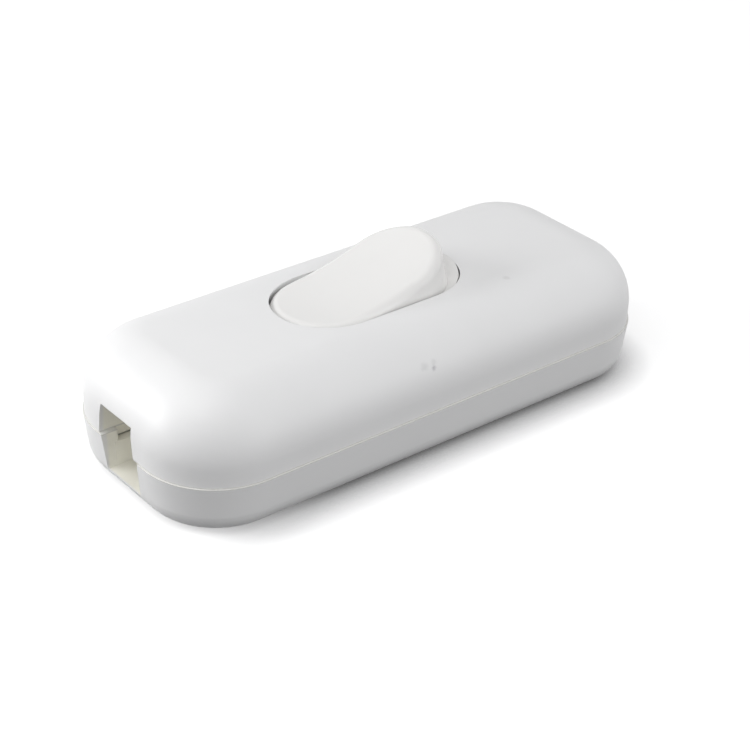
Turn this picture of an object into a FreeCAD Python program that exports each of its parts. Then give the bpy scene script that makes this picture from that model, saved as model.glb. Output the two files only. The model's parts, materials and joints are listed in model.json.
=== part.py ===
import FreeCAD, Part
import math
import os
import re
import Sketcher

# Inline cord switch: two white shells screwed together, a dished rocker and
# the single-pole see-saw contact under it. Millimetres; X runs along the cord,
# Z is up, the origin is the middle of the flat underside. The rocker stands as
# in use with its -X end pressed.

os.makedirs("parts", exist_ok=True)
doc = FreeCAD.newDocument("inline_cord_switch")

SIZES = [
    # case
    ("case_length", "65.6"),
    ("case_width", "27.5"),
    ("case_height", "15.2"),
    ("split_height", "6.2"),
    ("corner_round", "9"),
    ("rim_ledge", "0.17"),
    ("rim_round", "0.06"),
    ("top_round", "6.9"),
    ("base_draft", "6.5"),
    ("base_round", "2.8"),
    ("wall", "2"),
    ("upper_wall", "2.35"),
    ("roof", "2"),
    ("floor_thick", "2"),
    ("tongue_depth", "1.2"),
    ("tongue_thick", "1.1"),
    ("tongue_root", "2"),
    ("fit_gap", "0.12"),
    ("cut_past", "1"),
    ("sink", "0.4"),
    # cord entries
    ("entry_width", "6.4"),
    ("entry_top", "9.8"),
    ("entry_flare", "0.3"),
    ("entry_shift", "0.8"),
    ("channel_wall", "1"),
    ("channel_gap", "0.3"),
    ("channel_drop", "0.8"),
    # case screws and their bosses
    ("boss_inset", "14.5"),
    ("boss_aside", "6.8"),
    ("boss_radius", "2.5"),
    ("boss_foot", "3.5"),
    ("boss_seat", "4"),
    ("boss_gap", "0.1"),
    ("screw_radius", "1.4"),
    ("screw_head", "2.4"),
    ("screw_recess", "2.2"),
    ("screw_length", "9"),
    ("screw_head_height", "1.7"),
    ("shank_room", "0.15"),
    ("head_room", "0.3"),
    ("thread_room", "0.05"),
    ("tip_room", "0.4"),
    # cord clamps
    ("clamp_inset", "7.5"),
    ("clamp_aside", "6"),
    ("clamp_seat", "6.4"),
    ("clamp_width", "4.6"),
    ("clamp_thick", "2.2"),
    ("clamp_tail", "2.2"),
    ("clamp_screw", "1.15"),
    ("clamp_head_height", "1.3"),
    ("clamp_bite", "2.8"),
    ("clamp_room", "0.1"),
    ("post_radius", "2.1"),
    ("post_floor", "0.6"),
    ("ridge_foot", "3"),
    ("ridge_crest", "2.4"),
    ("ridge_depth", "0.6"),
    ("ridge_length", "1.2"),
    ("rib_thick", "1"),
    ("rib_height", "0.7"),
    ("rib_reach", "3"),
    # rocker
    ("rocker_offset", "-0.6"),
    ("pivot_height", "10.6"),
    ("rocker_tilt", "13.5"),
    ("rocker_radius", "12.5"),
    ("rocker_width", "12.2"),
    ("rocker_gap", "0.15"),
    ("rocker_round", "1"),
    ("flange_top", "2.3"),
    ("cap_length", "21.4"),
    ("cap_width", "11.9"),
    ("cap_rake", "1.5"),
    ("rocker_wall", "1.5"),
    ("rocker_top", "1.8"),
    ("hollow_end", "3.6"),
    ("hollow_corner", "0.5"),
    ("dish_height", "5.7"),
    ("dish_radius", "36"),
    ("skirt_depth", "1"),
    ("trunnion_radius", "1.5"),
    ("trunnion_length", "1.9"),
    ("bearing_gap", "0.05"),
    ("lug_gap", "0.35"),
    ("lug_thick", "2"),
    ("lug_width", "6"),
    ("lug_drop", "2.6"),
    # plunger in its tube
    ("tube_radius", "2.6"),
    ("tube_drop", "2.6"),
    ("plunger_radius", "1.65"),
    ("plunger_gap", "0.1"),
    ("plunger_tip", "1"),
    ("plunger_clear", "0.05"),
    ("plunger_drop", "0.5"),
    ("bore_roof", "1.2"),
    ("spring_wire", "0.2"),
    ("spring_room", "0.25"),
    ("spring_end", "0.03"),
    # contact see-saw
    ("fulcrum_height", "5.4"),
    ("plate_tilt", "9"),
    ("plate_thick", "0.8"),
    ("plate_width", "5"),
    ("plate_reach", "8.6"),
    ("plate_round", "1.2"),
    ("contact_arm", "7"),
    ("contact_radius", "1.6"),
    ("contact_head", "0.6"),
    ("contact_gap", "0.05"),
    ("rivet_room", "0.03"),
    ("rivet_tail", "0.35"),
    ("knuckle_radius", "0.7"),
    ("knuckle_past", "0.2"),
    ("ear_gap", "0.4"),
    ("ear_foot", "1.8"),
    ("ear_crown", "1.4"),
    ("ear_rise", "0.6"),
    ("stop_radius", "1.2"),
    # terminals
    ("strip_thick", "0.8"),
    ("strip_width", "5"),
    ("shelf_height", "4.2"),
    ("strip_end", "3"),
    ("bend_clear", "1"),
    ("bend_run", "1.4"),
    ("bend_set", "0.4"),
    ("fixed_reach", "2.2"),
    ("pedestal_width", "5.8"),
    ("pedestal_round", "0.5"),
    ("terminal_screw", "1.5"),
    ("terminal_head_height", "1.6"),
    ("washer_side", "5.6"),
    ("washer_round", "0.5"),
    ("washer_thick", "1"),
    ("washer_room", "0.1"),
    # neutral connector
    ("link_length", "16"),
    ("link_width", "4.2"),
    ("link_height", "5"),
    ("link_clear", "0.4"),
    ("link_round", "0.4"),
    ("link_bore", "1.4"),
    ("link_screw", "1.2"),
    ("link_head_height", "0.9"),
    ("nest_gap", "0.3"),
    ("partition_reach", "10"),
    ("partition_gap", "0.15"),
    ("partition_height", "3.5"),
]

# Lengths that follow from the sizes above.
WORKED = {
    "half_length": "case_length / 2",
    "half_width": "case_width / 2",
    "upper_half_width": "half_width - rim_ledge",
    "tongue_inner": "half_width - wall - fit_gap - tongue_thick",
    "link_aside": "tongue_inner - link_clear - link_width / 2",
    "rocker_half": "rocker_width / 2",
    "cap_half": "cap_width / 2",
    "cap_straight": "cap_length / 2 - cap_half",
    "barrel_centre": "rocker_radius - rocker_half",
    "boss_x": "half_length - boss_inset",
    "clamp_x": "half_length - clamp_inset",
    "channel_end": "clamp_x + clamp_width / 2 + channel_gap",
    "low_channel_start": "half_length - wall + sink",
    "high_channel_start": "half_length - rim_ledge - upper_wall + fit_gap",
    "terminal_x": "(rocker_radius - rocker_offset + clamp_x - clamp_width / 2) / 2",
    "strip_tip": "terminal_x + strip_end",
    "bend_low": "contact_arm - rocker_offset + contact_radius + bend_clear",
    "bend_high": "bend_low + bend_run",
    "shelf_start": "bend_high + bend_set",
    "roof_under": "case_height - roof",
    "bearing_radius": "trunnion_radius + bearing_gap",
    "lug_slot": "trunnion_radius * 0.87",
    "lug_inner": "rocker_half + lug_gap",
    "hollow_top": "dish_height - rocker_top",
    "tube_bore": "plunger_radius + plunger_gap",
    "bore_top": "hollow_top - bore_roof",
    "plunger_seat": "0 - plunger_drop",
    "tip_shoulder": "plunger_tip * 0.6",
    "tip_centre": "pivot_height - fulcrum_height - plate_thick / 2 - plunger_tip - plunger_clear",
    "strip_top": "floor_thick + strip_thick",
    "shelf_top": "shelf_height + strip_thick",
    "washer_top": "shelf_top + washer_thick",
    "knuckle_slot": "knuckle_radius + bearing_gap",
    "ear_inner": "plate_width / 2 + ear_gap",
    "ear_outer": "ear_inner + strip_thick",
    "stop_reach": "contact_arm + stop_radius",
    "plate_low": "fulcrum_height - stop_reach * sin(plate_tilt) - half_plate * cos(plate_tilt)",
    "half_plate": "plate_thick / 2",
    "plate_drop": "contact_arm * sin(plate_tilt) + (plate_thick / 2 + contact_head) * cos(plate_tilt)",
    "fixed_top": "fulcrum_height - plate_drop - contact_face * sin(plate_tilt) - contact_gap",
    "contact_face": "contact_radius * 0.7",
    "rivet_radius": "contact_radius / 2",
    "contact_crown": "contact_radius * 0.8",
    "contact_bevel": "contact_head * 0.6",
    "contact_chamfer": "contact_head / 6",
    "tail_foot": "contact_radius * 0.75",
    "tail_crown": "contact_radius * 0.6",
    "contact_x": "rocker_offset - contact_arm * cos(plate_tilt)",
    "link_top": "floor_thick + link_height",
    "link_inner": "link_aside - link_width / 2",
    "link_outer": "link_aside + link_width / 2",
    "link_screw_x": "link_length * 0.32",
    "link_screw_length": "link_height * 0.36",
    "link_screw_depth": "link_height * 0.5",
    "link_bore_height": "link_height * 0.45",
    "link_head": "link_screw * 1.5",
    "terminal_head": "terminal_screw * 1.8",
    "clamp_head": "clamp_screw * 1.75",
    "rocker_past": "rocker_radius + cut_past",
    "rocker_through": "rocker_width + 4 * cut_past",
    "case_through": "case_length + 4 * cut_past",
    "tongue_low": "split_height - tongue_depth",
}

sheet = doc.addObject("Spreadsheet::Sheet", "Sizes")
for row, (alias, value) in enumerate(SIZES, start=1):
    sheet.set(f"A{row}", alias)
    sheet.set(f"B{row}", value)
    sheet.setAlias(f"B{row}", alias)
doc.recompute()
ALIASES = {alias for alias, value in SIZES}


def formula(text):
    """The expression on the sheet for a size or a worked-out length."""
    def swap(match):
        word = match.group(0)
        if word in WORKED:
            return "(" + formula(WORKED[word]) + ")"
        if word in ALIASES:
            return "Sizes." + word
        return word
    return re.sub(r"[a-z_]\w*", swap, str(text))


def bind(thing, path, text):
    thing.setExpression(path, formula(text))


def number(thing, text):
    return float(thing.evalExpression(formula(text)))


def new_body(name):
    body = doc.addObject("PartDesign::Body", name)
    body.Label = name
    return body


def place(thing, x="0", y="0", z="0", axis=None, angle="0"):
    """Stand a body at a bound position, turned about an axis if one is given."""
    if axis is not None:
        turn = FreeCAD.Rotation(FreeCAD.Vector(*axis), number(thing, angle))
        thing.Placement = FreeCAD.Placement(FreeCAD.Vector(0, 0, 0), turn)
        bind(thing, "Placement.Rotation.Angle", angle)
    bind(thing, "Placement.Base.x", x)
    bind(thing, "Placement.Base.y", y)
    bind(thing, "Placement.Base.z", z)


def new_sketch(body, name, plane, level="0", along="0"):
    """A sketch on one of the body's own planes, lifted along the normal."""
    sketch = body.newObject("Sketcher::SketchObject", name)
    support = [part for part in body.Origin.OriginFeatures if part.Role == plane][0]
    sketch.AttachmentSupport = [(support, "")]
    sketch.MapMode = "FlatFace"
    bind(sketch, "AttachmentOffset.Base.z", level)
    if along != "0":
        bind(sketch, "AttachmentOffset.Base.x", along)
    return sketch


def bind_point(sketch, curve, end, x, y):
    for kind, text in (("DistanceX", x), ("DistanceY", y)):
        value = number(sketch, text)
        index = sketch.addConstraint(Sketcher.Constraint(kind, -1, 1, curve, end, value))
        bind(sketch, f"Constraints[{index}]", text)


def arc_between(first, last, radius):
    """The shorter arc between two points; a negative radius runs clockwise."""
    chord = last - first
    half = chord.Length / 2
    rise = math.sqrt(max(radius * radius - half * half, 0))
    side = FreeCAD.Vector(-chord.y, chord.x, 0).normalize()
    centre = (first + last) * 0.5 + side * math.copysign(rise, radius)
    start, stop = (first, last) if radius > 0 else (last, first)
    angles = [math.atan2(end.y - centre.y, end.x - centre.x) for end in (start, stop)]
    if angles[1] < angles[0]:
        angles[1] += 2 * math.pi
    circle = Part.Circle(centre, FreeCAD.Vector(0, 0, 1), abs(radius))
    return Part.ArcOfCircle(circle, angles[0], angles[1])


def outline(sketch, corners):
    """A closed outline; a third entry bends the edge that leaves the corner."""
    points = [FreeCAD.Vector(number(sketch, c[0]), number(sketch, c[1]), 0) for c in corners]
    curves = []
    for index, corner in enumerate(corners):
        first = points[index]
        last = points[(index + 1) % len(points)]
        if len(corner) == 2:
            curves.append((sketch.addGeometry(Part.LineSegment(first, last), False), 1, 2))
            continue
        radius = number(sketch, corner[2])
        ends = (1, 2) if radius > 0 else (2, 1)
        curve = sketch.addGeometry(arc_between(first, last, radius), False)
        curves.append((curve, ends[0], ends[1]))
    for index, (curve, start, stop) in enumerate(curves):
        following = curves[(index + 1) % len(curves)]
        sketch.addConstraint(Sketcher.Constraint("Coincident", curve, stop, following[0], following[1]))
    for (curve, start, stop), corner in zip(curves, corners):
        bind_point(sketch, curve, start, corner[0], corner[1])
        if len(corner) == 3:
            radius = abs(number(sketch, corner[2]))
            index = sketch.addConstraint(Sketcher.Constraint("Radius", curve, radius))
            bind(sketch, f"Constraints[{index}]", f"abs({corner[2]})")


def rounded_rectangle(sketch, half_x, half_y, radius, x="0", y="0"):
    right, left = f"{x} + ({half_x})", f"{x} - ({half_x})"
    back, front = f"{y} + ({half_y})", f"{y} - ({half_y})"
    inset = f"({radius})"
    outline(sketch, [
        (f"{right} - {inset}", front, inset),
        (right, f"{front} + {inset}"),
        (right, f"{back} - {inset}", inset),
        (f"{right} - {inset}", back),
        (f"{left} + {inset}", back, inset),
        (left, f"{back} - {inset}"),
        (left, f"{front} + {inset}", inset),
        (f"{left} + {inset}", front),
    ])


def rectangle(sketch, left, right, low, high):
    outline(sketch, [(left, low), (right, low), (right, high), (left, high)])


def circle(sketch, x, y, radius):
    centre = FreeCAD.Vector(number(sketch, x), number(sketch, y), 0)
    ring = Part.Circle(centre, FreeCAD.Vector(0, 0, 1), number(sketch, radius))
    curve = sketch.addGeometry(ring, False)
    index = sketch.addConstraint(Sketcher.Constraint("Radius", curve, number(sketch, radius)))
    bind(sketch, f"Constraints[{index}]", radius)
    bind_point(sketch, curve, 3, x, y)


def extrude(body, kind, name, sketch, length, back=False, both=False, taper=None):
    feature = body.newObject("PartDesign::" + kind, name)
    feature.Profile = sketch
    bind(feature, "Length", length)
    if both:
        feature.SideType = "Symmetric"
    feature.Reversed = back
    if taper is not None:
        bind(feature, "TaperAngle", taper)
    doc.recompute()
    return feature


def turn_about(body, kind, name, sketch):
    feature = body.newObject("PartDesign::" + kind, name)
    feature.Profile = sketch
    feature.ReferenceAxis = (sketch, ["V_Axis"])
    feature.Angle = 360
    doc.recompute()
    return feature


def round_edges(body, name, radius, wanted):
    """Fillet every edge of the body's last feature that passes the test."""
    base = body.Tip
    picked = [f"Edge{i}" for i, edge in enumerate(base.Shape.Edges, start=1) if wanted(edge)]
    feature = body.newObject("PartDesign::Fillet", name)
    feature.Base = (base, picked)
    bind(feature, "Radius", radius)
    doc.recompute()
    return feature


def level_edges(height, inside=None):
    """A test for edges that lie flat at one height, inside a half-width if given."""
    def wanted(edge):
        box = edge.BoundBox
        flat = abs(box.ZMin - height) < 1e-4 and abs(box.ZMax - height) < 1e-4
        if not flat or inside is None:
            return flat
        return inside(box)
    return wanted


# Lower shell
lower = new_body("lower_shell")
sketch = new_sketch(lower, "lower_outline", "XY_Plane", "split_height")
rounded_rectangle(sketch, "half_length", "half_width", "corner_round")
extrude(lower, "Pad", "lower_blank", sketch, "split_height", back=True, taper="0 - base_draft")
round_edges(lower, "lower_edge", "base_round", level_edges(0))
sketch = new_sketch(lower, "lower_hollow_outline", "XY_Plane", "split_height")
rounded_rectangle(sketch, "half_length - wall", "half_width - wall", "corner_round - wall")
extrude(lower, "Pocket", "lower_hollow", sketch, "split_height - floor_thick")
aside = number(lower, "half_width") - number(lower, "wall") / 2


def on_rim(box):
    wide = max(abs(box.XMin), abs(box.XMax)) > number(lower, "half_length - wall / 2")
    deep = max(abs(box.YMin), abs(box.YMax)) > aside
    return wide or deep


round_edges(lower, "rim_edge", "rim_round", level_edges(number(lower, "split_height"), on_rim))
round_edges(lower, "floor_edge", "wall / 2", level_edges(number(lower, "floor_thick")))
sketch = new_sketch(lower, "lower_entry_outline", "YZ_Plane")
outline(sketch, [
    ("0 - entry_width / 2", "floor_thick"),
    ("entry_width / 2", "floor_thick"),
    ("entry_width / 2 + entry_flare", "split_height + cut_past"),
    ("0 - entry_width / 2 - entry_flare", "split_height + cut_past"),
])
extrude(lower, "Pocket", "lower_entries", sketch, "case_through", both=True)

# Its inner posts, nests and ribs stand on the floor
sketch = new_sketch(lower, "boss_feet", "XY_Plane", "floor_thick / 2")
for side in ("", "0 - "):
    circle(sketch, f"{side}boss_x", f"{side}boss_aside", "boss_foot")
extrude(lower, "Pad", "lower_bosses", sketch, "boss_seat - floor_thick / 2")
sketch = new_sketch(lower, "post_feet", "XY_Plane", "floor_thick / 2")
for along in ("", "0 - "):
    for across in ("", "0 - "):
        circle(sketch, f"{along}clamp_x", f"{across}clamp_aside", "post_radius")
extrude(lower, "Pad", "clamp_posts", sketch, "clamp_seat - floor_thick / 2")
sketch = new_sketch(lower, "pedestal_feet", "XY_Plane", "floor_thick / 2")
for along in ("", "0 - "):
    rounded_rectangle(sketch, "(strip_tip - shelf_start) / 2", "pedestal_width / 2", "pedestal_round",
                      x=f"{along}(strip_tip + shelf_start) / 2")
extrude(lower, "Pad", "terminal_pedestals", sketch, "shelf_height - floor_thick / 2")
sketch = new_sketch(lower, "partition_foot", "XY_Plane", "floor_thick / 2")
rectangle(sketch, "rocker_offset - partition_reach", "rocker_offset + partition_reach",
          "ear_outer + knuckle_past + partition_gap", "link_inner - nest_gap")
extrude(lower, "Pad", "partition", sketch, "floor_thick / 2 + partition_height")
sketch = new_sketch(lower, "low_rib_feet", "XY_Plane", "floor_thick / 2")
near, far = "link_length / 2 + nest_gap", "link_length / 2 + nest_gap + rib_thick"
rectangle(sketch, f"rocker_offset + {near}", f"rocker_offset + {far}", "link_inner", "link_outer")
rectangle(sketch, f"rocker_offset - ({far})", f"rocker_offset - ({near})", "link_inner", "link_outer")
for along in ("", "0 - "):
    rectangle(sketch, f"{along}clamp_x - rib_thick / 2", f"{along}clamp_x + rib_thick / 2",
              "0 - rib_reach", "rib_reach")
extrude(lower, "Pad", "low_ribs", sketch, "floor_thick / 2 + rib_height")
sketch = new_sketch(lower, "low_channel_feet", "XY_Plane", "floor_thick / 2")
for ends in (("channel_end", "low_channel_start"), ("0 - (low_channel_start)", "0 - (channel_end)")):
    for sides in (("entry_width / 2", "entry_width / 2 + channel_wall"),
                  ("0 - entry_width / 2 - channel_wall", "0 - entry_width / 2")):
        rectangle(sketch, *ends, *sides)
extrude(lower, "Pad", "low_channels", sketch, "tongue_low - fit_gap - floor_thick / 2")

# and are drilled for the screws
sketch = new_sketch(lower, "screw_recess_outline", "XY_Plane")
for side in ("", "0 - "):
    circle(sketch, f"{side}boss_x", f"{side}boss_aside", "screw_head + head_room")
extrude(lower, "Pocket", "screw_recesses", sketch, "screw_recess", back=True)
sketch = new_sketch(lower, "screw_way_outline", "XY_Plane")
for side in ("", "0 - "):
    circle(sketch, f"{side}boss_x", f"{side}boss_aside", "screw_radius + shank_room")
extrude(lower, "Pocket", "screw_ways", sketch, "boss_seat + cut_past", back=True)
sketch = new_sketch(lower, "post_pilots_outline", "XY_Plane", "clamp_seat")
for along in ("", "0 - "):
    for across in ("", "0 - "):
        circle(sketch, f"{along}clamp_x", f"{across}clamp_aside", "clamp_screw + thread_room")
extrude(lower, "Pocket", "post_pilots", sketch, "clamp_seat - floor_thick - post_floor")
sketch = new_sketch(lower, "pedestal_holes_outline", "XY_Plane", "shelf_height")
for along in ("", "0 - "):
    circle(sketch, f"{along}terminal_x", "0", "terminal_screw + head_room")
extrude(lower, "Pocket", "pedestal_holes", sketch, "shelf_height - floor_thick + tip_room")

# Upper shell
upper = new_body("upper_shell")
sketch = new_sketch(upper, "upper_outline", "XY_Plane", "split_height")
rounded_rectangle(sketch, "half_length - rim_ledge", "upper_half_width", "corner_round - rim_ledge")
extrude(upper, "Pad", "upper_blank", sketch, "case_height - split_height")
round_edges(upper, "top_edge", "top_round", level_edges(number(upper, "case_height")))
core = new_body("upper_core")
sketch = new_sketch(core, "upper_core_outline", "XY_Plane", "split_height - cut_past")
rounded_rectangle(sketch, "half_length - rim_ledge - upper_wall", "upper_half_width - upper_wall",
                  "corner_round - rim_ledge - upper_wall")
extrude(core, "Pad", "upper_core_blank", sketch, "roof_under - split_height + cut_past")
round_edges(core, "upper_core_edge", "top_round - upper_wall", level_edges(number(core, "roof_under")))
hollow = upper.newObject("PartDesign::Boolean", "upper_hollow")
hollow.Type = "Cut"
hollow.setObjects([core])
doc.recompute()
sketch = new_sketch(upper, "tongue_outline", "XY_Plane", "tongue_low")
rounded_rectangle(sketch, "half_length - wall - fit_gap", "half_width - wall - fit_gap",
                  "corner_round - wall - fit_gap")
rounded_rectangle(sketch, "half_length - wall - fit_gap - tongue_thick", "tongue_inner",
                  "corner_round - wall - fit_gap - tongue_thick")
extrude(upper, "Pad", "tongue", sketch, "tongue_depth + tongue_root")
sketch = new_sketch(upper, "high_channel_feet", "XY_Plane", "tongue_low")
for ends in (("channel_end", "high_channel_start"), ("0 - (high_channel_start)", "0 - (channel_end)")):
    for side, far in (("", "+"), ("0 - ", "-")):
        near_side = f"entry_shift {far} (entry_width / 2 - entry_flare)"
        far_side = f"entry_shift {far} (entry_width / 2 + entry_flare + channel_wall)"
        sides = (near_side, far_side) if side == "" else (far_side, near_side)
        rectangle(sketch, *ends, *sides)
extrude(upper, "Pad", "high_channels", sketch, "roof_under - channel_drop - tongue_low")
sketch = new_sketch(upper, "upper_entry_outline", "YZ_Plane")
outline(sketch, [
    ("entry_shift - entry_width / 2 - entry_flare", "tongue_low - cut_past"),
    ("entry_shift + entry_width / 2 + entry_flare", "tongue_low - cut_past"),
    ("entry_shift + entry_width / 2 - entry_flare", "entry_top"),
    ("entry_shift - entry_width / 2 + entry_flare", "entry_top"),
])
extrude(upper, "Pocket", "upper_entries", sketch, "case_through", both=True)
# The rocker's opening is turned about its pivot, so the gap stays even
sketch = new_sketch(upper, "opening_outline", "XY_Plane", "pivot_height", along="rocker_offset")
outline(sketch, [
    ("0", "0 - rocker_half - rocker_gap"),
    ("barrel_centre", "0 - rocker_half - rocker_gap", "rocker_half + rocker_gap"),
    ("rocker_radius + rocker_gap", "0", "rocker_half + rocker_gap"),
    ("barrel_centre", "rocker_half + rocker_gap"),
    ("0", "rocker_half + rocker_gap"),
])
turn_about(upper, "Groove", "opening", sketch)
# Bearing lugs, open below so that the trunnions snap in
bearing_low = "pivot_height - sqrt(bearing_radius * bearing_radius - lug_slot * lug_slot)"
for name, level, back in (("front_lug", "lug_inner", False), ("back_lug", "0 - lug_inner", True)):
    sketch = new_sketch(upper, name + "_outline", "XZ_Plane", level, along="rocker_offset")
    outline(sketch, [
        ("0 - lug_width / 2", "roof_under + sink"),
        ("0 - lug_width / 2", "pivot_height - lug_drop"),
        ("0 - lug_slot", "pivot_height - lug_drop"),
        ("0 - lug_slot", bearing_low, "0 - bearing_radius"),
        ("0", "pivot_height + bearing_radius", "0 - bearing_radius"),
        ("lug_slot", bearing_low),
        ("lug_slot", "pivot_height - lug_drop"),
        ("lug_width / 2", "pivot_height - lug_drop"),
        ("lug_width / 2", "roof_under + sink"),
    ])
    extrude(upper, "Pad", name, sketch, "lug_thick", back=back)
sketch = new_sketch(upper, "upper_boss_outline", "XY_Plane", "boss_seat + boss_gap")
for side in ("", "0 - "):
    circle(sketch, f"{side}boss_x", f"{side}boss_aside", "boss_radius")
extrude(upper, "Pad", "upper_bosses", sketch, "roof_under + sink - boss_seat - boss_gap")
sketch = new_sketch(upper, "pilot_outline", "XY_Plane", "boss_seat + boss_gap")
for side in ("", "0 - "):
    circle(sketch, f"{side}boss_x", f"{side}boss_aside", "screw_radius + thread_room")
extrude(upper, "Pocket", "boss_pilots", sketch, "screw_length + screw_recess - boss_seat + tip_room",
        back=True)

# Rocker, drawn level about its pivot and then tilted
rocker = new_body("rocker")
place(rocker, "rocker_offset", "0", "pivot_height", axis=(0, -1, 0), angle="rocker_tilt")
sketch = new_sketch(rocker, "barrel_outline", "XY_Plane")
outline(sketch, [
    ("0", "0 - rocker_half"),
    ("barrel_centre", "0 - rocker_half", "rocker_half"),
    ("rocker_radius", "0", "rocker_half"),
    ("barrel_centre", "rocker_half"),
    ("0", "rocker_half"),
])
turn_about(rocker, "Revolution", "barrel", sketch)
sketch = new_sketch(rocker, "flange_outline", "XZ_Plane")
rectangle(sketch, "0 - (rocker_past)", "rocker_past", "flange_top", "rocker_past")
extrude(rocker, "Pocket", "flange", sketch, "rocker_through", both=True)
cap_ends = []
for name, level in (("cap_foot", "flange_top - sink"), ("cap_head", "rocker_radius")):
    sketch = new_sketch(rocker, name, "XY_Plane", level)
    straight = f"cap_straight - ({level} - flange_top) * tan(cap_rake)"
    outline(sketch, [
        (f"0 - ({straight})", "0 - cap_half"),
        (straight, "0 - cap_half", "cap_half"),
        (f"{straight} + cap_half", "0", "cap_half"),
        (straight, "cap_half"),
        (f"0 - ({straight})", "cap_half", "cap_half"),
        (f"0 - ({straight}) - cap_half", "0", "cap_half"),
    ])
    cap_ends.append(sketch)
cap = rocker.newObject("PartDesign::AdditiveLoft", "cap")
cap.Profile = cap_ends[0]
cap.Sections = [cap_ends[1]]
cap.Ruled = True
doc.recompute()
sketch = new_sketch(rocker, "dish_outline", "XZ_Plane")
dish_edge = "dish_height + dish_radius - sqrt(dish_radius * dish_radius - (rocker_past) ^ 2)"
outline(sketch, [
    ("0 - (rocker_past)", dish_edge, "dish_radius"),
    ("rocker_past", dish_edge),
    ("rocker_past", "rocker_past + cut_past"),
    ("0 - (rocker_past)", "rocker_past + cut_past"),
])
extrude(rocker, "Pocket", "dish", sketch, "rocker_through", both=True)
sketch = new_sketch(rocker, "skirt_outline", "XZ_Plane")
rectangle(sketch, "0 - (rocker_past)", "rocker_past", "0 - (rocker_past)", "0 - skirt_depth")
extrude(rocker, "Pocket", "skirt", sketch, "rocker_through", both=True)
dish_level = number(rocker, "dish_height")


def on_dish(edge):
    middle = edge.valueAt((edge.FirstParameter + edge.LastParameter) / 2)
    ends = [edge.valueAt(edge.FirstParameter), edge.valueAt(edge.LastParameter), middle]
    rim = number(rocker, "dish_radius")
    return all(abs(math.hypot(p.x, p.z - dish_level - rim) - rim) < 1e-3 for p in ends)


round_edges(rocker, "rocker_edge", "rocker_round", on_dish)
sketch = new_sketch(rocker, "trunnion_outline", "XZ_Plane")
circle(sketch, "0", "0", "trunnion_radius")
extrude(rocker, "Pad", "trunnions", sketch, "rocker_width + 2 * trunnion_length", both=True)
sketch = new_sketch(rocker, "rocker_hollow_outline", "XY_Plane", "0 - skirt_depth - cut_past")
rounded_rectangle(sketch, "rocker_radius - hollow_end", "rocker_half - rocker_wall",
                  "rocker_half - rocker_wall - hollow_corner")
extrude(rocker, "Pocket", "rocker_hollow", sketch, "hollow_top + skirt_depth + cut_past", back=True)
sketch = new_sketch(rocker, "tube_outline", "XY_Plane", "0 - tube_drop")
circle(sketch, "0", "0", "tube_radius")
extrude(rocker, "Pad", "tube", sketch, "tube_drop + hollow_top + sink")
sketch = new_sketch(rocker, "tube_bore_outline", "XY_Plane", "0 - tube_drop")
circle(sketch, "0", "0", "tube_bore")
extrude(rocker, "Pocket", "tube_hole", sketch, "tube_drop + bore_top", back=True)

# Plunger and its spring ride in the tube
plunger = new_body("plunger")
place(plunger, "rocker_offset", "0", "pivot_height", axis=(0, -1, 0), angle="rocker_tilt")
sketch = new_sketch(plunger, "plunger_outline", "XZ_Plane")
outline(sketch, [
    ("0", "plunger_seat"),
    ("0", "0 - tip_centre - plunger_tip", "plunger_tip"),
    ("plunger_tip", "0 - tip_centre"),
    ("plunger_radius", "0 - tip_centre + tip_shoulder"),
    ("plunger_radius", "plunger_seat"),
])
turn_about(plunger, "Revolution", "plunger_pin", sketch)
spring = new_body("plunger_spring")
place(spring, "rocker_offset", "0", "pivot_height", axis=(0, -1, 0), angle="rocker_tilt")
sketch = new_sketch(spring, "wire_outline", "XZ_Plane")
circle(sketch, "tube_bore - spring_wire - spring_room", "plunger_seat + spring_wire + spring_end",
       "spring_wire")
coil = spring.newObject("PartDesign::AdditiveHelix", "coil")
coil.Profile = sketch
coil.ReferenceAxis = (sketch, ["V_Axis"])
coil.Mode = "height-turns-angle"
bind(coil, "Height", "bore_top - plunger_seat - 2 * (spring_wire + spring_end)")
coil.Turns = 4
doc.recompute()

# Contact see-saw, drawn level about its fulcrum and then tilted against the rocker
plate = new_body("contact_plate")
place(plate, "rocker_offset", "0", "fulcrum_height", axis=(0, 1, 0), angle="plate_tilt")
sketch = new_sketch(plate, "plate_outline", "XY_Plane")
rounded_rectangle(sketch, "plate_reach", "plate_width / 2", "plate_round")
circle(sketch, "0 - contact_arm", "0", "rivet_radius + rivet_room")
extrude(plate, "Pad", "plate_sheet", sketch, "plate_thick", both=True)
for name, level, back in (("front_knuckle", "plate_width / 2 - knuckle_radius", False),
                          ("back_knuckle", "knuckle_radius - plate_width / 2", True)):
    sketch = new_sketch(plate, name + "_outline", "XZ_Plane", level)
    circle(sketch, "0", "0", "knuckle_radius")
    extrude(plate, "Pad", name, sketch, "ear_outer + knuckle_past - plate_width / 2 + knuckle_radius",
            back=back)
moving = new_body("moving_contact")
place(moving, "contact_x", "0",
      "fulcrum_height + contact_arm * sin(plate_tilt)", axis=(0, 1, 0), angle="plate_tilt")
sketch = new_sketch(moving, "moving_rivet_outline", "XZ_Plane")
outline(sketch, [
    ("0", "0 - plate_thick / 2 - contact_head"),
    ("contact_face", "0 - plate_thick / 2 - contact_head"),
    ("contact_radius", "0 - plate_thick / 2 - contact_bevel"),
    ("contact_radius", "0 - plate_thick / 2"),
    ("rivet_radius", "0 - plate_thick / 2"),
    ("rivet_radius", "plate_thick / 2"),
    ("tail_foot", "plate_thick / 2"),
    ("tail_crown", "plate_thick / 2 + rivet_tail"),
    ("0", "plate_thick / 2 + rivet_tail"),
])
turn_about(moving, "Revolution", "moving_rivet", sketch)


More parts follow.
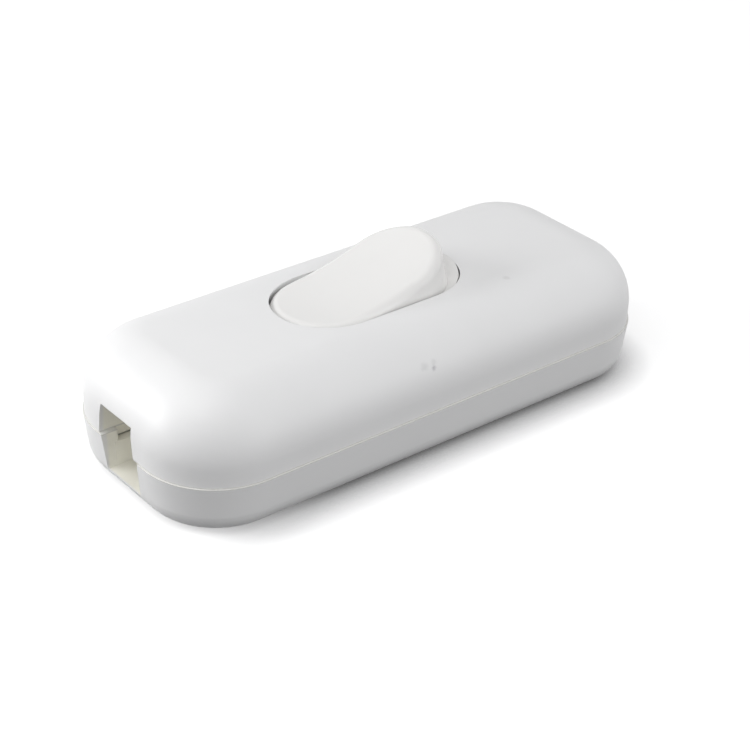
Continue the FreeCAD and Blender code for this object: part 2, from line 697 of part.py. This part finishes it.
def strip_profile(sketch, side, inner):
    """The bent strip seen from the side: flat on the floor, then up to its shelf."""
    end = f"{side}(strip_tip)"
    low_bend, high_bend = f"{side}(bend_low)", f"{side}(bend_high)"
    set_back = "- bend_set" if side == "" else "+ bend_set"
    corners = [
        (inner, "floor_thick"),
        (low_bend, "floor_thick"),
        (high_bend, "shelf_height"),
        (end, "shelf_height"),
        (end, "shelf_top"),
        (f"{high_bend} {set_back}", "shelf_top"),
        (f"{low_bend} {set_back}", "strip_top"),
        (inner, "strip_top"),
    ]
    outline(sketch, corners)


# Common terminal: bent strip with the two ears that carry the see-saw
common = new_body("common_terminal")
sketch = new_sketch(common, "common_strip_outline", "XZ_Plane")
strip_profile(sketch, "", "rocker_offset - ear_foot")
extrude(common, "Pad", "common_strip", sketch, "strip_width", both=True)
sketch = new_sketch(common, "ear_tab_outline", "XY_Plane", "floor_thick")
rectangle(sketch, "rocker_offset - ear_foot", "rocker_offset + ear_foot", "0 - (ear_outer)", "ear_outer")
extrude(common, "Pad", "ear_tab", sketch, "strip_thick")
for name, level, back in (("front_ear", "ear_inner", False), ("back_ear", "0 - ear_inner", True)):
    sketch = new_sketch(common, name + "_outline", "XZ_Plane", level, along="rocker_offset")
    outline(sketch, [
        ("0 - ear_foot", "floor_thick"),
        ("ear_foot", "floor_thick"),
        ("ear_crown", "fulcrum_height + ear_rise"),
        ("knuckle_slot", "fulcrum_height + ear_rise"),
        ("knuckle_slot", "fulcrum_height", "0 - knuckle_slot"),
        ("0", "fulcrum_height - knuckle_slot", "0 - knuckle_slot"),
        ("0 - knuckle_slot", "fulcrum_height"),
        ("0 - knuckle_slot", "fulcrum_height + ear_rise"),
        ("0 - ear_crown", "fulcrum_height + ear_rise"),
    ])
    extrude(common, "Pad", name, sketch, "strip_thick", back=back)
sketch = new_sketch(common, "stop_outline", "XY_Plane", "floor_thick + strip_thick / 2")
circle(sketch, "rocker_offset + contact_arm", "0", "stop_radius")
extrude(common, "Pad", "stop", sketch, "plate_low - floor_thick - strip_thick / 2 - contact_gap")
sketch = new_sketch(common, "common_hole_outline", "XY_Plane", "shelf_top + cut_past")
circle(sketch, "terminal_x", "0", "terminal_screw + thread_room")
extrude(common, "Pocket", "common_hole", sketch, "strip_thick + 2 * cut_past")

# Fixed terminal under the moving contact
fixed = new_body("fixed_terminal")
sketch = new_sketch(fixed, "fixed_strip_outline", "XZ_Plane")
strip_profile(sketch, "0 - ", "rocker_offset - contact_arm + fixed_reach")
extrude(fixed, "Pad", "fixed_strip", sketch, "strip_width", both=True)
sketch = new_sketch(fixed, "fixed_hole_outline", "XY_Plane", "shelf_top + cut_past")
circle(sketch, "0 - terminal_x", "0", "terminal_screw + thread_room")
extrude(fixed, "Pocket", "fixed_hole", sketch, "strip_thick + 2 * cut_past")
sketch = new_sketch(fixed, "rivet_hole_outline", "XY_Plane", "strip_top + cut_past")
circle(sketch, "contact_x", "0", "rivet_radius + rivet_room")
extrude(fixed, "Pocket", "rivet_hole", sketch, "strip_thick + 2 * cut_past")
still = new_body("fixed_contact")
place(still, "contact_x")
sketch = new_sketch(still, "fixed_rivet_outline", "XZ_Plane")
outline(sketch, [
    ("0", "floor_thick"),
    ("rivet_radius", "floor_thick"),
    ("rivet_radius", "strip_top"),
    ("contact_radius", "strip_top"),
    ("contact_radius", "fixed_top - contact_chamfer"),
    ("contact_crown", "fixed_top"),
    ("0", "fixed_top"),
])
turn_about(still, "Revolution", "fixed_rivet", sketch)


# Shares of the shank, the head height and the head radius that shape every screw
SCREW_POINT, SCREW_TAPER = 0.5, 0.6
HEAD_SIDE, HEAD_CROWN = 0.45, 0.72
CROSS_REACH, CROSS_WEB, CROSS_DEPTH = 0.55, 0.13, 0.55


def screw(name, shank, head, height, length, x, y, z, flip=False):
    """A pan-head screw with a cross recess; its seat is at the given point."""
    body = new_body(name)
    if flip:
        place(body, x, y, z, axis=(1, 0, 0), angle="180")
    else:
        place(body, x, y, z)
    sketch = new_sketch(body, name + "_outline", "XZ_Plane")
    outline(sketch, [
        ("0", f"0 - ({length})"),
        (f"{shank} * {SCREW_POINT}", f"0 - ({length})"),
        (shank, f"0 - ({length}) + {shank} * {SCREW_TAPER}"),
        (shank, "0"),
        (head, "0"),
        (head, f"{height} * {HEAD_SIDE}"),
        (f"{head} * {HEAD_CROWN}", height),
        ("0", height),
    ])
    turn_about(body, "Revolution", name + "_turned", sketch)
    sketch = new_sketch(body, name + "_cross", "XY_Plane", height)
    arm, web = f"{head} * {CROSS_REACH}", f"{head} * {CROSS_WEB}"
    outline(sketch, [
        (f"0 - {arm}", f"0 - {web}"), (f"0 - {web}", f"0 - {web}"),
        (f"0 - {web}", f"0 - {arm}"), (web, f"0 - {arm}"),
        (web, f"0 - {web}"), (arm, f"0 - {web}"),
        (arm, web), (web, web),
        (web, arm), (f"0 - {web}", arm),
        (f"0 - {web}", web), (f"0 - {arm}", web),
    ])
    extrude(body, "Pocket", name + "_recess", sketch, f"{height} * {CROSS_DEPTH}")
    return body


def group(name, bodies):
    """Identical pieces that share one node."""
    together = doc.addObject("Part::Compound", name)
    together.Label = name
    together.Links = bodies
    return together


case_screws = group("case_screws", [
    screw(f"case_screw_{tag}", "screw_radius", "screw_head", "screw_head_height", "screw_length",
          f"{side}boss_x", f"{side}boss_aside", "screw_recess", flip=True)
    for tag, side in (("far", ""), ("near", "0 - "))])
terminal_screws = group("terminal_screws", [
    screw(f"terminal_screw_{tag}", "terminal_screw", "terminal_head", "terminal_head_height",
          "washer_top - floor_thick",
          f"{side}terminal_x", "0", "washer_top")
    for tag, side in (("far", ""), ("near", "0 - "))])
neutral_screws = group("neutral_screws", [
    screw(f"neutral_screw_{tag}", "link_screw", "link_head", "link_head_height", "link_screw_length",
          f"rocker_offset {sign} link_screw_x", "link_aside", "link_top")
    for tag, sign in (("far", "+"), ("near", "-"))])
clamp_screws = group("clamp_screws", [
    screw(f"clamp_screw_{tag}{row}", "clamp_screw", "clamp_head", "clamp_head_height",
          "clamp_thick + clamp_bite",
          f"{along}clamp_x", f"{across}clamp_aside", "clamp_seat + clamp_thick")
    for tag, along in (("far", ""), ("near", "0 - "))
    for row, across in ((1, ""), (2, "0 - "))])

# Wire washers under the terminal screws
washers = []
for tag, side in (("far", ""), ("near", "0 - ")):
    washer = new_body(f"wire_washer_{tag}")
    place(washer, f"{side}terminal_x", "0", "shelf_top")
    sketch = new_sketch(washer, f"wire_washer_{tag}_outline", "XY_Plane")
    rounded_rectangle(sketch, "washer_side / 2", "washer_side / 2", "washer_round")
    circle(sketch, "0", "0", "terminal_screw + washer_room")
    extrude(washer, "Pad", f"wire_washer_{tag}_plate", sketch, "washer_thick")
    washers.append(washer)
wire_washers = group("wire_washers", washers)

# Neutral connector
link = new_body("neutral_connector")
place(link, "rocker_offset", "link_aside", "floor_thick")
sketch = new_sketch(link, "link_outline", "XY_Plane")
rounded_rectangle(sketch, "link_length / 2", "link_width / 2", "link_round")
extrude(link, "Pad", "link_bar", sketch, "link_height")
sketch = new_sketch(link, "link_bore_outline", "YZ_Plane")
circle(sketch, "0", "link_bore_height", "link_bore")
extrude(link, "Pocket", "link_bore_hole", sketch, "link_length + 2 * cut_past", both=True)
sketch = new_sketch(link, "link_screw_outline", "XY_Plane", "link_height")
for sign in ("", "0 - "):
    circle(sketch, f"{sign}link_screw_x", "0", "link_screw + thread_room")
extrude(link, "Pocket", "link_screw_holes", sketch, "link_screw_depth")

# Cord clamps
clamps = []
for tag, side in (("far", ""), ("near", "0 - ")):
    clamp = new_body(f"cord_clamp_{tag}")
    place(clamp, f"{side}clamp_x", "0", "clamp_seat")
    sketch = new_sketch(clamp, f"clamp_{tag}_outline", "XY_Plane")
    rounded_rectangle(sketch, "clamp_width / 2", "clamp_aside + clamp_tail", "clamp_width / 2 - clamp_room")
    for across in ("", "0 - "):
        circle(sketch, "0", f"{across}clamp_aside", "clamp_screw + clamp_room")
    extrude(clamp, "Pad", f"clamp_{tag}_bar", sketch, "clamp_thick")
    sketch = new_sketch(clamp, f"clamp_{tag}_ridge_outline", "YZ_Plane")
    outline(sketch, [
        ("0 - ridge_foot", "sink"),
        ("0 - ridge_crest", "0 - ridge_depth"),
        ("ridge_crest", "0 - ridge_depth"),
        ("ridge_foot", "sink"),
    ])
    extrude(clamp, "Pad", f"clamp_{tag}_ridge", sketch, "ridge_length", both=True)
    clamps.append(clamp)

doc.recompute()
NODES = [lower, upper, rocker, plunger, spring, plate, moving, common, fixed, still, link,
         case_screws, terminal_screws, neutral_screws, clamp_screws, wire_washers] + clamps

for thing in doc.Objects:
    if "Invalid" in thing.State or "Error" in thing.State:
        raise RuntimeError(f"{thing.Name} did not build: {thing.State}")
for node in NODES:
    if node.Shape.isNull() or not node.Shape.isValid():
        raise RuntimeError(f"{node.Label} has no valid shape")
    node.Shape.exportStep(f"parts/{node.Label}.step")
    box = node.Shape.optimalBoundingBox()
    low = f"{box.XMin:.2f} {box.YMin:.2f} {box.ZMin:.2f}"
    high = f"{box.XMax:.2f} {box.YMax:.2f} {box.ZMax:.2f}"
    print(f"{node.Label}: {len(node.Shape.Solids)} solid, {node.Shape.Volume:.1f} mm3, {low} to {high}")
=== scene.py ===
import json
import math

import bpy
from mathutils import Matrix, Vector

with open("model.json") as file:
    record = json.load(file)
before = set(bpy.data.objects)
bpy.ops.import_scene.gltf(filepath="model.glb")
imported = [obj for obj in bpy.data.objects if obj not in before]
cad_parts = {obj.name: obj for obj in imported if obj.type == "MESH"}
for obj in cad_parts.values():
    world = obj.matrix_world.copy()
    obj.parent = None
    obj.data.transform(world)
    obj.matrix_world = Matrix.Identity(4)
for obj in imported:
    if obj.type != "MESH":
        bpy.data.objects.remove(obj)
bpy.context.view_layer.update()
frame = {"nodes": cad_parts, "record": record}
scene = bpy.context.scene

# Places and sizes are in millimetres unless a comment says otherwise
MM = 0.001
WHITE = (1.0, 1.0, 1.0, 1.0)

# Sockets of the Mix node when it mixes colours
MIX_FACTOR, MIX_FIRST, MIX_SECOND, MIX_RESULT = 0, 6, 7, 2
# The range that a noise mostly keeps to, and its middle
NOISE_LOW, NOISE_MIDDLE, NOISE_HIGH = 0.3, 0.5, 0.7
BEVEL_SAMPLES = 3


# Node helpers
def new_material(name):
    material = bpy.data.materials.new(name)
    material.use_nodes = True
    tree = material.node_tree
    return material, tree, tree.nodes["Principled BSDF"]


def add(tree, kind, **settings):
    node = tree.nodes.new(kind)
    for key, value in settings.items():
        setattr(node, key, value)
    return node


def feed(tree, node, socket, value):
    """Set a socket to a constant, or link an output to it."""
    if isinstance(value, bpy.types.NodeSocket):
        tree.links.new(value, node.inputs[socket])
    else:
        node.inputs[socket].default_value = value


def maths(tree, operation, first, second=0.0, clamp=False):
    node = add(tree, "ShaderNodeMath", operation=operation, use_clamp=clamp)
    feed(tree, node, 0, first)
    feed(tree, node, 1, second)
    return node.outputs[0]


def ramp(tree, value, low, high, start=0.0, end=1.0, smooth=False):
    """Turn the range from low to high into the one from start to end, and hold it there."""
    node = add(tree, "ShaderNodeMapRange", clamp=True)
    if smooth:
        node.interpolation_type = "SMOOTHSTEP"
    feed(tree, node, "Value", value)
    feed(tree, node, "From Min", low)
    feed(tree, node, "From Max", high)
    feed(tree, node, "To Min", start)
    feed(tree, node, "To Max", end)
    return node.outputs["Result"]


def spread(tree, value, start=0.0, end=1.0):
    """Turn the usual range of a noise into the one from start to end."""
    return ramp(tree, value, NOISE_LOW, NOISE_HIGH, start, end)


def mix_colour(tree, factor, first, second):
    node = add(tree, "ShaderNodeMix", data_type="RGBA")
    feed(tree, node, MIX_FACTOR, factor)
    feed(tree, node, MIX_FIRST, first)
    feed(tree, node, MIX_SECOND, second)
    return node.outputs[MIX_RESULT]


def noise(tree, coord, scale, detail=3.0, rough=0.5):
    """A noise with a scale per metre."""
    node = add(tree, "ShaderNodeTexNoise")
    feed(tree, node, "Vector", coord)
    feed(tree, node, "Scale", scale)
    feed(tree, node, "Detail", detail)
    feed(tree, node, "Roughness", rough)
    return node.outputs["Fac"]


def seen(tree):
    """1 for rays that look at the background: from the camera, mirrored or passed through."""
    path = add(tree, "ShaderNodeLightPath").outputs
    mirrored = maths(tree, "MAXIMUM", path["Is Glossy Ray"], path["Is Transmission Ray"])
    return maths(tree, "MAXIMUM", path["Is Camera Ray"], mirrored)


def object_coord(tree):
    return add(tree, "ShaderNodeTexCoord").outputs["Object"]


def axes(tree, coord):
    """The X, Y and Z of a coordinate."""
    node = add(tree, "ShaderNodeSeparateXYZ")
    feed(tree, node, 0, coord)
    return tuple(node.outputs)


def stretched(tree, coord, scale):
    node = add(tree, "ShaderNodeMapping")
    feed(tree, node, "Vector", coord)
    feed(tree, node, "Scale", scale)
    return node.outputs["Vector"]


def bump(tree, shader, height, depth, edge=0.0):
    """Fine relief of a depth, with sharp edges softened over a small radius if one is given."""
    node = add(tree, "ShaderNodeBump")
    if edge > 0.0:
        soft = add(tree, "ShaderNodeBevel", samples=BEVEL_SAMPLES)
        feed(tree, soft, "Radius", edge * MM)
        feed(tree, node, "Normal", soft.outputs["Normal"])
    feed(tree, node, "Height", height)
    feed(tree, node, "Distance", depth * MM)
    feed(tree, shader, "Normal", node.outputs["Normal"])


def opaque(colour, factor=1.0):
    """A colour times a factor, with the alpha that a socket wants."""
    return tuple(min(c * factor, 1.0) for c in colour) + (1.0,)


# Plastic
# Noise scales per metre: clouding, ragged edges, smears, and the two grains of the relief
CLOUDING, RAGGED, SMEARING, FINE_GRAIN, BROAD_GRAIN = 140.0, 1500.0, 260.0, 5200.0, 210.0
CLOUD_SHADE = 0.985
FINE_SHARE = 0.25
SMEAR_STRETCH = (1.0, 2.2, 2.2)
PLASTIC_IOR = 1.47
EDGE_RADIUS = 0.06
INSIDE_BLUR = 0.3
# Weakest and strongest share of the painted shade band, set by noise
SHADE_BAND_WEAK, SHADE_BAND_STRONG = 0.7, 1.0
# A mark's full-strength core and the depth of its ragged edge, as shares of its radius
MARK_CORE, MARK_RAGGED = 0.25, 1.4


def mark(tree, coord, centre, radius, wobble):
    """A soft mark round a point of the surface, with a ragged edge."""
    node = add(tree, "ShaderNodeVectorMath", operation="DISTANCE")
    feed(tree, node, 0, coord)
    feed(tree, node, 1, tuple(c * MM for c in centre))
    swing = maths(tree, "SUBTRACT", wobble, NOISE_MIDDLE)
    swing = maths(tree, "MULTIPLY", swing, radius * MARK_RAGGED * MM)
    ragged = maths(tree, "ADD", node.outputs["Value"], swing)
    return ramp(tree, ragged, radius * MARK_CORE * MM, radius * MM, 1.0, 0.0, smooth=True)


def inside_box(tree, coord, low, high):
    """1 inside a box of the object's own frame and 0 outside, with a narrow blur."""
    result = 1.0
    for value, least, most in zip(axes(tree, coord), low, high):
        rise = ramp(tree, value, (least - INSIDE_BLUR) * MM, least * MM)
        fall = ramp(tree, value, most * MM, (most + INSIDE_BLUR) * MM, 1.0, 0.0)
        result = maths(tree, "MULTIPLY", maths(tree, "MULTIPLY", rise, fall), result)
    return result


def painted_shade_band(tree, coord, level, reach, wobble):
    """Uneven painted shade round a height: full within its reach, none past twice that."""
    height = axes(tree, coord)[2]
    away = maths(tree, "ABSOLUTE", maths(tree, "SUBTRACT", height, level * MM))
    band = ramp(tree, away, reach * MM, 2.0 * reach * MM, 1.0, 0.0)
    return maths(tree, "MULTIPLY", band, spread(tree, wobble, SHADE_BAND_WEAK, SHADE_BAND_STRONG))


def plastic(name, colour, rough, grain=0.012, smears=0.05, inside=None, shade_band=None, marks=()):
    """White moulded plastic: faint clouding and smears, fine grain, and painted light where it is deep
    inside: a brighter cream tint that stands in for warm light passing through the thin walls.
    """
    material, tree, shader = new_material(name)
    coord = object_coord(tree)
    cloud = spread(tree, noise(tree, coord, CLOUDING))
    tint = mix_colour(tree, cloud, opaque(colour, CLOUD_SHADE), opaque(colour))
    # Painted light: the cream tint inside the box stands in for warm light passing through the thin walls
    if inside is not None:
        low, high, shade = inside
        tint = mix_colour(tree, inside_box(tree, coord, low, high), tint, opaque(shade))
    wobble = noise(tree, coord, RAGGED, detail=4.0, rough=0.7)
    # Painted shade: a darker band round the ledge height dulls the light that the ledge catches
    if shade_band is not None:
        level, reach, shade = shade_band
        tint = mix_colour(tree, painted_shade_band(tree, coord, level, reach, wobble), tint, opaque(shade))
    for centre, radius, shade, strength in marks:
        factor = maths(tree, "MULTIPLY", mark(tree, coord, centre, radius, wobble), strength)
        tint = mix_colour(tree, factor, tint, opaque(shade))
    feed(tree, shader, "Base Color", tint)
    smear = noise(tree, stretched(tree, coord, SMEAR_STRETCH), SMEARING, detail=4.0, rough=0.6)
    feed(tree, shader, "Roughness", spread(tree, smear, rough - smears, rough + smears))
    feed(tree, shader, "IOR", PLASTIC_IOR)
    fine = noise(tree, coord, FINE_GRAIN, detail=2.0)
    broad = noise(tree, coord, BROAD_GRAIN, detail=2.0)
    height = maths(tree, "ADD", maths(tree, "MULTIPLY", fine, FINE_SHARE), broad)
    bump(tree, shader, height, grain, edge=EDGE_RADIUS)
    return material


# Metal
# Noise scales per metre: streaks and tarnish
STREAKING, TARNISHING = 900.0, 260.0
TARNISH_SHADE = 0.88
SMOOTHER, ROUGHER = 0.06, 0.08
METAL_GRAIN = 0.004
# Stretch of the streaks: none, or along the case (X)
EVEN, STREAKS_ALONG = (1.0, 1.0, 1.0), (0.15, 1.0, 1.0)


def metal(name, colour, rough, streak=EVEN):
    """Bare or plated metal with faint tarnish and a fine grain, drawn out into streaks if it is rolled."""
    material, tree, shader = new_material(name)
    coord = object_coord(tree)
    streaks = noise(tree, stretched(tree, coord, streak), STREAKING, detail=4.0, rough=0.6)
    tarnish = spread(tree, noise(tree, coord, TARNISHING, detail=2.0))
    tint = mix_colour(tree, tarnish, opaque(colour, TARNISH_SHADE), opaque(colour))
    feed(tree, shader, "Base Color", tint)
    feed(tree, shader, "Metallic", 1.0)
    feed(tree, shader, "Roughness", spread(tree, streaks, rough - SMOOTHER, rough + ROUGHER))
    bump(tree, shader, streaks, METAL_GRAIN)
    return material


# The look of each material slot
# Painted light inside the case: a brighter cream tint that stands in for warm light passing through the
# thin white walls. Two corners of its box, colour
PAINTED_INSIDE_GLOW = ((-32.0, -4.4, 2.0), (32.0, 4.9, 10.2), (0.99, 0.975, 0.89))
# Painted shade on the ledge at the parting line, a darker warm band that dulls the light line the ledge
# catches: height, reach, colour
LEDGE_PAINTED_SHADE = (6.2, 0.07, (0.74, 0.735, 0.705))
# Scuffs of the case: place, radius, colour, strength
SCUFFS = (
    ((-1.50, -12.95, 11.27), 0.45, (0.30, 0.28, 0.33), 0.45),
    ((-2.60, -12.77, 11.65), 0.65, (0.50, 0.50, 0.50), 0.22),
    ((-1.30, -12.72, 11.75), 0.50, (0.50, 0.50, 0.50), 0.20),
    ((13.35, -7.50, 15.16), 0.55, (0.55, 0.54, 0.53), 0.25),
)
PLASTICS = {
    "white_case": dict(colour=(0.925, 0.925, 0.926), rough=0.42,
                       inside=PAINTED_INSIDE_GLOW, shade_band=LEDGE_PAINTED_SHADE, marks=SCUFFS),
    "white_rocker": dict(colour=(0.92, 0.913, 0.898), rough=0.2, grain=0.004, smears=0.004),
    "white_clamp": dict(colour=(0.93, 0.90, 0.80), rough=0.5),
    "nylon": dict(colour=(0.80, 0.76, 0.64), rough=0.5),
}
METALS = {
    "spring_steel": dict(colour=(0.56, 0.56, 0.57), rough=0.3),
    "brass_sheet": dict(colour=(0.78, 0.57, 0.24), rough=0.28, streak=STREAKS_ALONG),
    "brass_bar": dict(colour=(0.74, 0.55, 0.25), rough=0.34, streak=STREAKS_ALONG),
    "contact_silver": dict(colour=(0.86, 0.85, 0.82), rough=0.3),
    "zinc_steel": dict(colour=(0.66, 0.67, 0.69), rough=0.32),
}
materials = {name: plastic(name, **look) for name, look in PLASTICS.items()}
materials.update({name: metal(name, **look) for name, look in METALS.items()})
for part in frame["record"]["subparts"]:
    node = frame["nodes"][part["node"]]
    node.data.materials.clear()
    node.data.materials.append(materials[part["material_slot"]])

# Floor
# The plane's size is in metres, and it lies just under the base so that the two faces are never level
FLOOR_SIZE = 4.0
FLOOR_DROP = 0.02
# Noise scales per metre: clouding and relief
FLOOR_CLOUDING, FLOOR_RELIEF = 30.0, 800.0
FLOOR_DULL, FLOOR_PALE = (0.90, 0.90, 0.90, 1.0), (0.93, 0.93, 0.93, 1.0)
FLOOR_ROUGH = (0.85, 0.95)
FLOOR_GRAIN = 0.01
# What the floor throws back on to the object, and the glow that lifts it to white for the camera
FLOOR_BOUNCE = (0.05, 0.05, 0.05, 1.0)
FLOOR_LIFT = 0.42
# The floor fades to plain white between these distances
FLOOR_NEAR, FLOOR_FAR = 100.0, 400.0
# Shadow close to the object, on the side away from the key lamp
SHADOW_COLOUR = (0.10, 0.10, 0.105, 1.0)
SHADOW_REACH = 4.5
SHADOW_DEPTH = 0.95
SHADOW_SAMPLES = 4
# The lee side faces -Y, turned towards +X by this slope, and starts softly between two places
SHADOW_TURN = 0.45
LEE_START, LEE_END = -4.0, 7.0


def close_shadow(tree, coord):
    """Share of the floor's light that the object hides close by, on its lee side only."""
    along, across, _ = axes(tree, coord)
    aside = maths(tree, "SUBTRACT", maths(tree, "MULTIPLY", along, SHADOW_TURN), across)
    lee = ramp(tree, aside, LEE_START * MM, LEE_END * MM, smooth=True)
    around = add(tree, "ShaderNodeAmbientOcclusion", samples=SHADOW_SAMPLES)
    feed(tree, around, "Distance", SHADOW_REACH * MM)
    shade = maths(tree, "MULTIPLY", maths(tree, "SUBTRACT", 1.0, around.outputs["AO"]), lee)
    return maths(tree, "MULTIPLY", shade, SHADOW_DEPTH, clamp=True)


def floor_material():
    """Pale floor that reads as white to the camera, throws little light back and takes the shadow."""
    material, tree, shader = new_material("floor")
    coord = object_coord(tree)
    cloud = noise(tree, coord, FLOOR_CLOUDING, detail=2.0)
    looked_at = seen(tree)
    lit = maths(tree, "SUBTRACT", 1.0, close_shadow(tree, coord), clamp=True)
    pale = mix_colour(tree, lit, SHADOW_COLOUR, mix_colour(tree, cloud, FLOOR_DULL, FLOOR_PALE))
    distance = add(tree, "ShaderNodeVectorMath", operation="LENGTH")
    feed(tree, distance, 0, coord)
    far = ramp(tree, distance.outputs["Value"], FLOOR_NEAR * MM, FLOOR_FAR * MM, smooth=True)
    pale = mix_colour(tree, far, pale, FLOOR_BOUNCE)
    feed(tree, shader, "Base Color", mix_colour(tree, looked_at, FLOOR_BOUNCE, pale))
    feed(tree, shader, "Roughness", spread(tree, cloud, *FLOOR_ROUGH))
    feed(tree, shader, "Specular IOR Level", 0.0)
    feed(tree, shader, "Emission Color", WHITE)
    lift = maths(tree, "MULTIPLY", lit, ramp(tree, far, 0.0, 1.0, FLOOR_LIFT, 1.0))
    feed(tree, shader, "Emission Strength", maths(tree, "MULTIPLY", looked_at, lift))
    bump(tree, shader, noise(tree, coord, FLOOR_RELIEF), FLOOR_GRAIN)
    return material


bpy.ops.mesh.primitive_plane_add(size=FLOOR_SIZE, location=(0.0, 0.0, -FLOOR_DROP * MM))
floor = bpy.context.object
floor.name = "floor"
floor.data.materials.append(floor_material())

# World: white to look at, and as a light brighter in front of the object (-Y) than behind it
ROOM_COLOUR = (0.99, 0.992, 1.0, 1.0)
ROOM_FRONT, ROOM_BACK = 0.79, 0.28
# The Y of the directions between which the one turns into the other
FRONT_ENDS, BACK_STARTS = -0.6, 0.6


def studio_world():
    world = bpy.data.worlds.new("studio")
    world.use_nodes = True
    tree = world.node_tree
    tree.nodes.clear()
    heading = axes(tree, add(tree, "ShaderNodeTexCoord").outputs["Generated"])[1]
    room = add(tree, "ShaderNodeBackground")
    feed(tree, room, "Color", ROOM_COLOUR)
    feed(tree, room, "Strength", ramp(tree, heading, FRONT_ENDS, BACK_STARTS, ROOM_FRONT, ROOM_BACK))
    backdrop = add(tree, "ShaderNodeBackground")
    feed(tree, backdrop, "Color", WHITE)
    feed(tree, backdrop, "Strength", 1.0)
    chooser = add(tree, "ShaderNodeMixShader")
    for socket, source in enumerate((seen(tree), room.outputs[0], backdrop.outputs[0])):
        feed(tree, chooser, socket, source)
    feed(tree, add(tree, "ShaderNodeOutputWorld"), "Surface", chooser.outputs[0])
    return world


scene.world = studio_world()

# Lamps: place, aim, size, and power in watts
SOFTBOXES = {
    "key": ((-140.0, 105.0, 65.0), (-20.0, 0.0, 10.0), (120.0, 80.0), 0.17),
    "upper": ((-100.0, 0.0, 220.0), (-10.0, 0.0, 10.0), (150.0, 150.0), 0.085),
    "fill": ((280.0, -500.0, 170.0), (0.0, 0.0, 8.0), (350.0, 300.0), 0.42),
}


def softbox(name, place, aim, size, power):
    lamp = bpy.data.lights.new(name, "AREA")
    lamp.shape = "RECTANGLE"
    lamp.size, lamp.size_y = (side * MM for side in size)
    lamp.energy = power
    stand = bpy.data.objects.new(name, lamp)
    scene.collection.objects.link(stand)
    stand.location = Vector(place) * MM
    stand.rotation_euler = (Vector(aim) - Vector(place)).to_track_quat("-Z", "Y").to_euler()


for name, settings in SOFTBOXES.items():
    softbox(name, *settings)

# Camera at the photo's angle: degrees, millimetres, and a focal length in pixels of the frame
AZIMUTH, ELEVATION, ROLL = -39.06, 29.69, 1.59
DISTANCE, AIM_RIGHT, AIM_UP = 209.06, 0.80, -3.74
CENTRE = Vector((0.0, 0.0, 8.0))
FOCAL, FRAME_WIDTH = 1865.4, 750.0
SENSOR = 36.0
CLIP_START = 10.0


def photo_camera():
    azimuth, elevation, roll = (math.radians(a) for a in (AZIMUTH, ELEVATION, ROLL))
    level = math.cos(elevation)
    back = Vector((math.sin(azimuth) * level, -math.cos(azimuth) * level, math.sin(elevation)))
    right = Vector((math.cos(azimuth), math.sin(azimuth), 0.0))
    place = CENTRE + DISTANCE * back
    aim = CENTRE + AIM_RIGHT * right + AIM_UP * back.cross(right)
    ahead = (aim - place).normalized()
    side = ahead.cross(Vector((0.0, 0.0, 1.0))).normalized()
    over = side.cross(ahead)
    turned_side = math.cos(roll) * side + math.sin(roll) * over
    turned_over = math.cos(roll) * over - math.sin(roll) * side
    camera = bpy.data.objects.new("camera", bpy.data.cameras.new("camera"))
    scene.collection.objects.link(camera)
    camera.data.sensor_width = SENSOR
    camera.data.lens = FOCAL / FRAME_WIDTH * SENSOR
    camera.data.clip_start = CLIP_START * MM
    basis = Matrix((turned_side, turned_over, -ahead)).transposed()
    camera.matrix_world = Matrix.Translation(place * MM) @ basis.to_4x4()
    return camera


scene.camera = photo_camera()
scene.view_settings.view_transform = "Standard"
